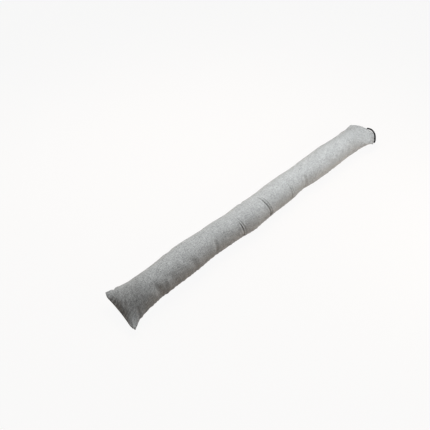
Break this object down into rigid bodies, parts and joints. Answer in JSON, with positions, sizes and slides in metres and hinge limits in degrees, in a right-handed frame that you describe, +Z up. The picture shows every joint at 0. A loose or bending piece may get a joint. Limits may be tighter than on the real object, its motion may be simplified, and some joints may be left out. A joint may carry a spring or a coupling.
{
  "type": "draught excluder",
  "caption": "Long filled cloth tube laid along the foot of a door to stop draughts, sewn flat at both ends, with a short cord loop to hang it by.",
  "frame": {"origin": "on the flat underside, half way between the two end seams", "axes": "+Z up from the surface it lies on, +X along the cover from the plain end to the end with the loop, -Y the side with the side seam"},
  "size_m": [0.9236, 0.106, 0.0683],
  "materials": {
    "cloth": "light grey heathered plain weave, matt",
    "cord": "black round cord, matt"
  },
  "bodies": {
    "root": {"cover": "cloth", "hanging_loop": "cord"}
  },
  "joints": []
}
